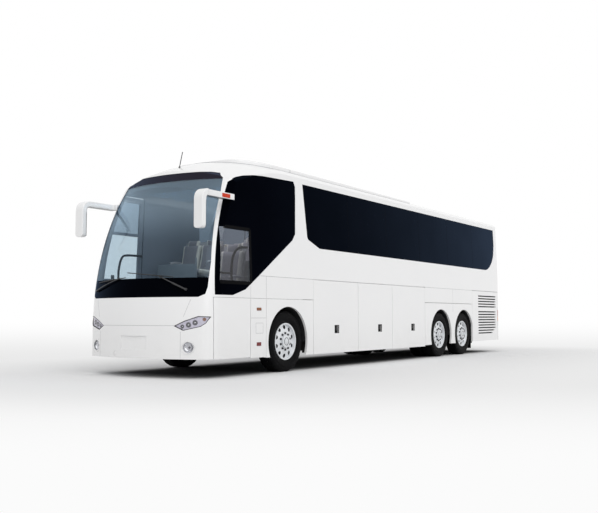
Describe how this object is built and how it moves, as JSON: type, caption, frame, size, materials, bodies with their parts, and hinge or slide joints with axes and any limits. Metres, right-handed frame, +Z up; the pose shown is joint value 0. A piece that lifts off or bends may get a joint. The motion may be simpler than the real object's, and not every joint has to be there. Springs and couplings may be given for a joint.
{
  "type": "coach bus",
  "caption": "Three-axle touring coach with a bowed raked front, dark side glazing, top-hung luggage flaps, swing-out door, steered front wheels and rear engine lid.",
  "frame": {"origin": "on the road under the middle of the body", "axes": "+Z up, front towards -Y, driver's side +X"},
  "size_m": [2.67, 12.34, 3.6498],
  "materials": {
    "white_paint": "gloss",
    "floor_board": "matte",
    "chassis_steel": "satin",
    "black_plastic": "matte",
    "clear_glass": "gloss",
    "dark_glass": "gloss",
    "lamp_lens": "gloss",
    "red_lens": "gloss",
    "amber_lens": "gloss",
    "mirror_face": "gloss",
    "seat_cloth": "matte",
    "rim_steel": "satin",
    "tyre_rubber": "matte"
  },
  "bodies": {
    "coach": {"front_shell": "white_paint", "front_mask": "white_paint", "side_walls": "white_paint", "roof": "white_paint", "roof_pod": "white_paint", "rear_wall": "white_paint", "lower_panels": "white_paint", "floor": "floor_board", "underframe": "chassis_steel", "wheel_arches": "black_plastic", "windscreen": "clear_glass", "side_windows": "dark_glass", "rear_window": "dark_glass", "front_lamps": "lamp_lens", "tail_lamps": "red_lens", "marker_lamps": "amber_lens", "mirrors": "white_paint", "mirror_glass": "mirror_face", "antenna": "black_plastic", "dashboard": "black_plastic", "steering_wheel": "black_plastic", "driver_seat": "seat_cloth", "seats": "seat_cloth", "engine": "chassis_steel", "axles": "chassis_steel", "tow_socket": "chassis_steel"},
    "knuckle_l": {"knuckle_left": "chassis_steel"},
    "knuckle_r": {"knuckle_right": "chassis_steel"},
    "track_rod": {"tie_rod": "chassis_steel"},
    "wheel_front_left": {"rim_front_left": "rim_steel", "tyre_front_left": "tyre_rubber"},
    "wheel_front_right": {"rim_front_right": "rim_steel", "tyre_front_right": "tyre_rubber"},
    "wheel_drive_left": {"rim_drive_left": "rim_steel", "tyre_drive_left": "tyre_rubber"},
    "wheel_drive_right": {"rim_drive_right": "rim_steel", "tyre_drive_right": "tyre_rubber"},
    "wheel_tag_left": {"rim_tag_left": "rim_steel", "tyre_tag_left": "tyre_rubber"},
    "wheel_tag_right": {"rim_tag_right": "rim_steel", "tyre_tag_right": "tyre_rubber"},
    "flap_left_1_body": {"flap_left_1": "white_paint"},
    "flap_left_2_body": {"flap_left_2": "white_paint"},
    "flap_left_3_body": {"flap_left_3": "white_paint"},
    "flap_right_1_body": {"flap_right_1": "white_paint"},
    "flap_right_2_body": {"flap_right_2": "white_paint"},
    "flap_right_3_body": {"flap_right_3": "white_paint"},
    "door_leaf": {"door": "white_paint", "door_glass": "clear_glass"},
    "swing_arm": {"door_arm": "chassis_steel"},
    "lid": {"engine_lid": "white_paint"}
  },
  "joints": [
    {"name": "steer_left", "type": "hinge", "parent": "coach", "child": "knuckle_l", "pos_m": [1.001, -3.86, 0.5], "axis": [0, 0, 1], "range_deg": [-40, 40]},
    {"name": "steer_right", "type": "hinge", "parent": "coach", "child": "knuckle_r", "pos_m": [-1.001, -3.86, 0.5], "axis": [0, 0, 1], "range_deg": [-40, 40]},
    {"name": "track_rod_pivot", "type": "hinge", "parent": "knuckle_l", "child": "track_rod", "pos_m": [1.001, -3.67, 0.3912], "axis": [0, 0, 1], "range_deg": [-40, 40]},
    {"name": "spin_front_left", "type": "hinge", "parent": "knuckle_l", "child": "wheel_front_left", "pos_m": [1.091, -3.86, 0.5], "axis": [1, 0, 0], "continuous": true},
    {"name": "spin_drive_left", "type": "hinge", "parent": "coach", "child": "wheel_drive_left", "pos_m": [1.091, 2.36, 0.5], "axis": [1, 0, 0], "continuous": true},
    {"name": "spin_tag_left", "type": "hinge", "parent": "coach", "child": "wheel_tag_left", "pos_m": [1.091, 3.71, 0.5], "axis": [1, 0, 0], "continuous": true},
    {"name": "flap_left_1_hinge", "type": "hinge", "parent": "coach", "child": "flap_left_1_body", "pos_m": [1.255, -2.2994, 1.533], "axis": [0, -1, 0], "range_deg": [0, 85]},
    {"name": "flap_left_2_hinge", "type": "hinge", "parent": "coach", "child": "flap_left_2_body", "pos_m": [1.255, -0.8004, 1.533], "axis": [0, -1, 0], "range_deg": [0, 85]},
    {"name": "flap_left_3_hinge", "type": "hinge", "parent": "coach", "child": "flap_left_3_body", "pos_m": [1.255, 0.694, 1.533], "axis": [0, -1, 0], "range_deg": [0, 85]},
    {"name": "spin_front_right", "type": "hinge", "parent": "knuckle_r", "child": "wheel_front_right", "pos_m": [-1.091, -3.86, 0.5], "axis": [1, 0, 0], "continuous": true},
    {"name": "spin_drive_right", "type": "hinge", "parent": "coach", "child": "wheel_drive_right", "pos_m": [-1.091, 2.36, 0.5], "axis": [1, 0, 0], "continuous": true},
    {"name": "spin_tag_right", "type": "hinge", "parent": "coach", "child": "wheel_tag_right", "pos_m": [-1.091, 3.71, 0.5], "axis": [1, 0, 0], "continuous": true},
    {"name": "flap_right_1_hinge", "type": "hinge", "parent": "coach", "child": "flap_right_1_body", "pos_m": [-1.255, -2.2994, 1.533], "axis": [0, 1, 0], "range_deg": [0, 85]},
    {"name": "flap_right_2_hinge", "type": "hinge", "parent": "coach", "child": "flap_right_2_body", "pos_m": [-1.255, -0.8004, 1.533], "axis": [0, 1, 0], "range_deg": [0, 85]},
    {"name": "flap_right_3_hinge", "type": "hinge", "parent": "coach", "child": "flap_right_3_body", "pos_m": [-1.255, 0.694, 1.533], "axis": [0, 1, 0], "range_deg": [0, 85]},
    {"name": "door_swing", "type": "hinge", "parent": "coach", "child": "swing_arm", "pos_m": [-1.1, -5.55, 0.9], "axis": [0, 0, 1], "range_deg": [0, 100]},
    {"name": "door_pivot", "type": "hinge", "parent": "swing_arm", "child": "door_leaf", "pos_m": [-1.1, -5.05, 1], "axis": [0, 0, 1], "range_deg": [-100, 0]},
    {"name": "lid_hinge", "type": "hinge", "parent": "coach", "child": "lid", "pos_m": [0, 6.15, 1.48], "axis": [1, 0, 0], "range_deg": [0, 85]}
  ],
  "couplings": [
    {"joint": "steer_right", "follows": "steer_left", "ratio": 1},
    {"joint": "track_rod_pivot", "follows": "steer_left", "ratio": -1},
    {"joint": "door_pivot", "follows": "door_swing", "ratio": -1}
  ]
}
